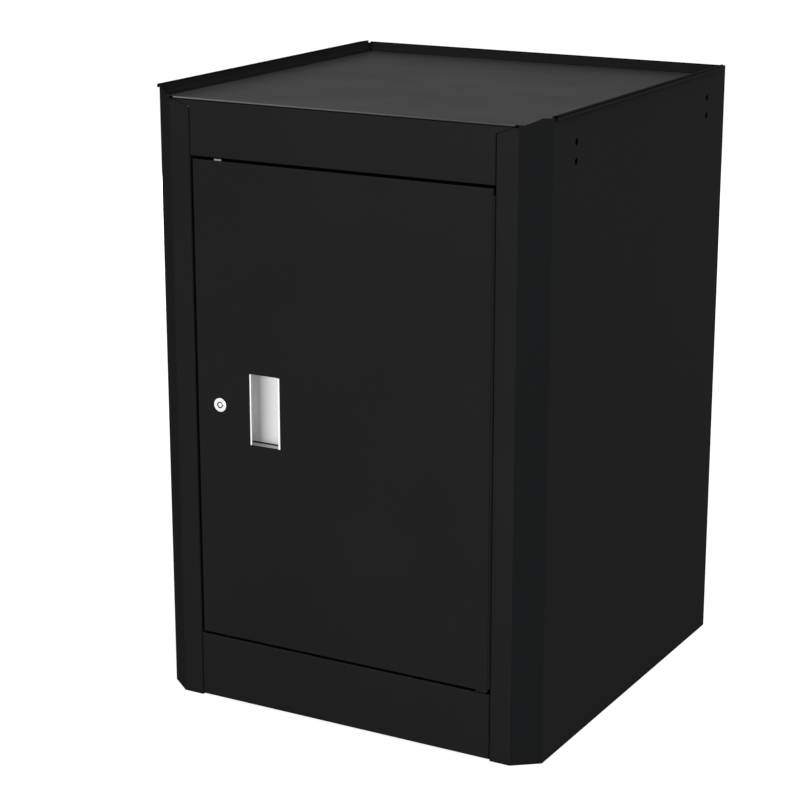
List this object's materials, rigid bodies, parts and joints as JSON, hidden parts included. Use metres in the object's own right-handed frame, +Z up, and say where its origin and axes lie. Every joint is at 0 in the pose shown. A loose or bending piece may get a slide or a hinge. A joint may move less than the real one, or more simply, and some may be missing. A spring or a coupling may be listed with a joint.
{
  "type": "tool chest side locker",
  "caption": "Steel side locker with a rimmed tray on top, slanted front corners, adjustable shelves and a hinged door with a recessed pull and a key lock that drives locking rods.",
  "frame": {"origin": "on the floor under the middle of the cabinet", "axes": "+Z up, -Y out of the door, +X to the right of someone facing the door"},
  "size_m": [0.6342, 0.639, 0.9144],
  "materials": {
    "outer_black_paint": "smooth satin black powder coat with a faint orange peel",
    "inner_black_paint": "matte black powder coat",
    "zinc_plate": "bright zinc plated steel",
    "satin_nickel": "satin nickel plated steel, drawn vertically",
    "bright_chrome": "bright chrome plated zinc casting",
    "black_rubber": "matte moulded rubber",
    "grey_nylon": "moulded natural grey nylon"
  },
  "bodies": {
    "cabinet": {"back_panel": "outer_black_paint", "back_panel_rivets": "outer_black_paint", "cabinet_hinge_leaf": "outer_black_paint", "door_bumpers": "black_rubber", "floor_pan": "inner_black_paint", "hinge_pin": "outer_black_paint", "kick_panel": "outer_black_paint", "left_base_rail": "inner_black_paint", "left_front_standard": "zinc_plate", "left_rear_standard": "zinc_plate", "left_side_panel": "outer_black_paint", "lower_keeper": "inner_black_paint", "lower_shelf": "inner_black_paint", "lower_shelf_clips": "zinc_plate", "rear_base_rail": "inner_black_paint", "right_base_rail": "inner_black_paint", "right_front_standard": "zinc_plate", "right_rear_standard": "zinc_plate", "right_side_panel": "outer_black_paint", "top_tray": "outer_black_paint", "tray_stiffener": "inner_black_paint", "upper_keeper": "inner_black_paint", "upper_shelf": "inner_black_paint", "upper_shelf_clips": "zinc_plate"},
    "door": {"door_skin": "outer_black_paint", "door_rib": "inner_black_paint", "door_hinge_leaf": "outer_black_paint", "pull_cup": "satin_nickel", "lock_housing": "bright_chrome", "lock_nut": "zinc_plate", "upper_rod_guide": "grey_nylon", "lower_rod_guide": "grey_nylon"},
    "lock_core": {"lock_plug": "bright_chrome", "lock_cam": "zinc_plate", "cam_screw": "zinc_plate"},
    "upper_rod": {"upper_lock_rod": "zinc_plate"},
    "lower_rod": {"lower_lock_rod": "zinc_plate"}
  },
  "joints": [
    {"name": "door_swing", "type": "hinge", "parent": "cabinet", "child": "door", "pos_m": [0.24065, -0.3179, 0.4613], "axis": [0, 0, 1], "range_deg": [0, 175]},
    {"name": "key_turn", "type": "hinge", "parent": "door", "child": "lock_core", "pos_m": [-0.19855, -0.3175, 0.4616], "axis": [0, 1, 0], "range_deg": [0, 90]},
    {"name": "upper_rod_slide", "type": "slide", "parent": "door", "child": "upper_rod", "axis": [0, 0, 1], "range_m": [0, 0.0198]},
    {"name": "lower_rod_slide", "type": "slide", "parent": "door", "child": "lower_rod", "axis": [0, 0, -1], "range_m": [0, 0.02]}
  ],
  "couplings": [
    {"joint": "key_turn", "follows": "upper_rod_slide", "rad_per_m": 79.336},
    {"joint": "lower_rod_slide", "follows": "upper_rod_slide", "ratio": 1}
  ]
}
